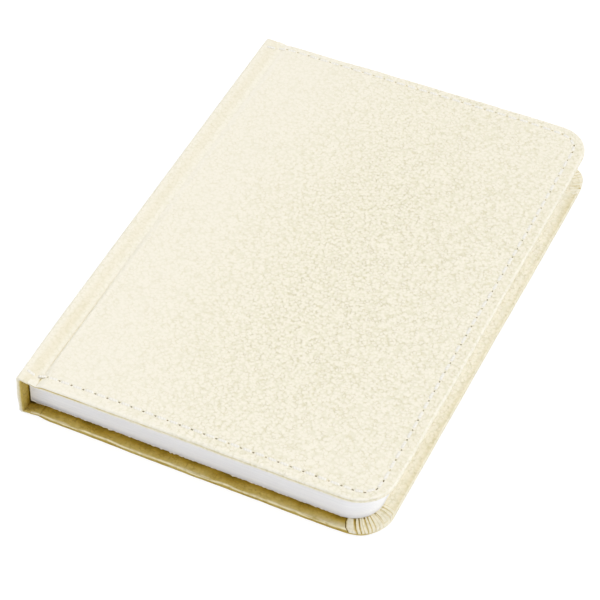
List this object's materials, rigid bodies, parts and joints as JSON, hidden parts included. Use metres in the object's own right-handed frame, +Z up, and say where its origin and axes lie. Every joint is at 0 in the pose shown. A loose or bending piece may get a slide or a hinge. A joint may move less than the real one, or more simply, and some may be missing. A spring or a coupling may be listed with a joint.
{
  "type": "prayer book",
  "caption": "Small square-spined hardback book with stitched, grained leather covers on bending joints and a block of sewn, round-cornered sections.",
  "frame": {"origin": "centre of the footprint, on the surface that the back cover lies on", "axes": "+X from the spine to the fore edge, +Y from the tail to the head, +Z up through the closed book"},
  "size_m": [0.105, 0.1526, 0.0153],
  "materials": {
    "cover_leather": "pebble-grained, matt, cream",
    "board": "grey board, matt",
    "page_paper": "uncoated paper, white",
    "endpaper": "uncoated paper, cream",
    "mull": "open cotton weave",
    "thread": "polyester thread, white"
  },
  "bodies": {
    "back_cover": {"back_cover_leather": "cover_leather", "back_board": "board", "back_infill_card": "board", "back_mull_flange": "mull", "back_pastedown": "endpaper", "back_stitching": "thread"},
    "book_block": {"spine_leather": "cover_leather", "spine_board": "board", "spine_lining": "endpaper", "spine_mull": "mull", "spine_stitching": "thread", "sewing_thread": "thread", "gutter_folds": "page_paper", "front_endpaper_fold": "endpaper", "back_endpaper_fold": "endpaper", "section_05": "page_paper", "section_06": "page_paper", "section_07": "page_paper", "section_08": "page_paper", "section_09": "page_paper", "section_10": "page_paper", "section_11": "page_paper", "section_12": "page_paper"},
    "back_flyleaf": {"back_flyleaf": "endpaper"},
    "front_joint": {"front_joint_leather": "cover_leather", "front_joint_lining": "mull", "front_joint_stitching": "thread"},
    "front_cover": {"front_cover_leather": "cover_leather", "front_board": "board", "front_infill_card": "board", "front_mull_flange": "mull", "front_pastedown": "endpaper", "front_stitching": "thread"},
    "front_flyleaf": {"front_flyleaf": "endpaper"},
    "section_01": {"section_01": "page_paper"},
    "section_02": {"section_02": "page_paper"},
    "section_03": {"section_03": "page_paper"},
    "section_04": {"section_04": "page_paper"}
  },
  "joints": [
    {"name": "back_joint", "type": "hinge", "parent": "back_cover", "child": "book_block", "pos_m": [-0.0517, 0, 0.0008], "axis": [0, 1, 0], "range_deg": [-90, 0]},
    {"name": "front_joint_swing", "type": "hinge", "parent": "book_block", "child": "front_joint", "pos_m": [-0.0517, 0, 0.0128], "axis": [0, -1, 0], "range_deg": [0, 45]},
    {"name": "front_cover_hinge", "type": "hinge", "parent": "front_joint", "child": "front_cover", "pos_m": [-0.0457, 0, 0.0127], "axis": [0, -1, 0], "range_deg": [0, 135]},
    {"name": "back_flyleaf_turn", "type": "hinge", "parent": "book_block", "child": "back_flyleaf", "pos_m": [-0.045, 0, 0.0019], "axis": [0, 1, 0], "range_deg": [0, 45]},
    {"name": "front_flyleaf_turn", "type": "hinge", "parent": "book_block", "child": "front_flyleaf", "pos_m": [-0.045, 0, 0.0117], "axis": [0, -1, 0], "range_deg": [0, 74.25]},
    {"name": "section_01_turn", "type": "hinge", "parent": "book_block", "child": "section_01", "pos_m": [-0.045, 0, 0.01155], "axis": [0, -1, 0], "range_deg": [0, 40.5]},
    {"name": "section_02_turn", "type": "hinge", "parent": "book_block", "child": "section_02", "pos_m": [-0.045, 0, 0.01076], "axis": [0, -1, 0], "range_deg": [0, 28.35]},
    {"name": "section_03_turn", "type": "hinge", "parent": "book_block", "child": "section_03", "pos_m": [-0.045, 0, 0.00997], "axis": [0, -1, 0], "range_deg": [0, 17.55]},
    {"name": "section_04_turn", "type": "hinge", "parent": "book_block", "child": "section_04", "pos_m": [-0.045, 0, 0.00918], "axis": [0, -1, 0], "range_deg": [0, 8.1]}
  ],
  "couplings": [
    {"joint": "front_cover_hinge", "follows": "front_joint_swing", "ratio": 3},
    {"joint": "back_flyleaf_turn", "follows": "back_joint", "ratio": -0.5},
    {"joint": "front_flyleaf_turn", "follows": "front_joint_swing", "ratio": 1.65},
    {"joint": "section_01_turn", "follows": "front_joint_swing", "ratio": 0.9},
    {"joint": "section_02_turn", "follows": "front_joint_swing", "ratio": 0.63},
    {"joint": "section_03_turn", "follows": "front_joint_swing", "ratio": 0.39},
    {"joint": "section_04_turn", "follows": "front_joint_swing", "ratio": 0.18}
  ]
}
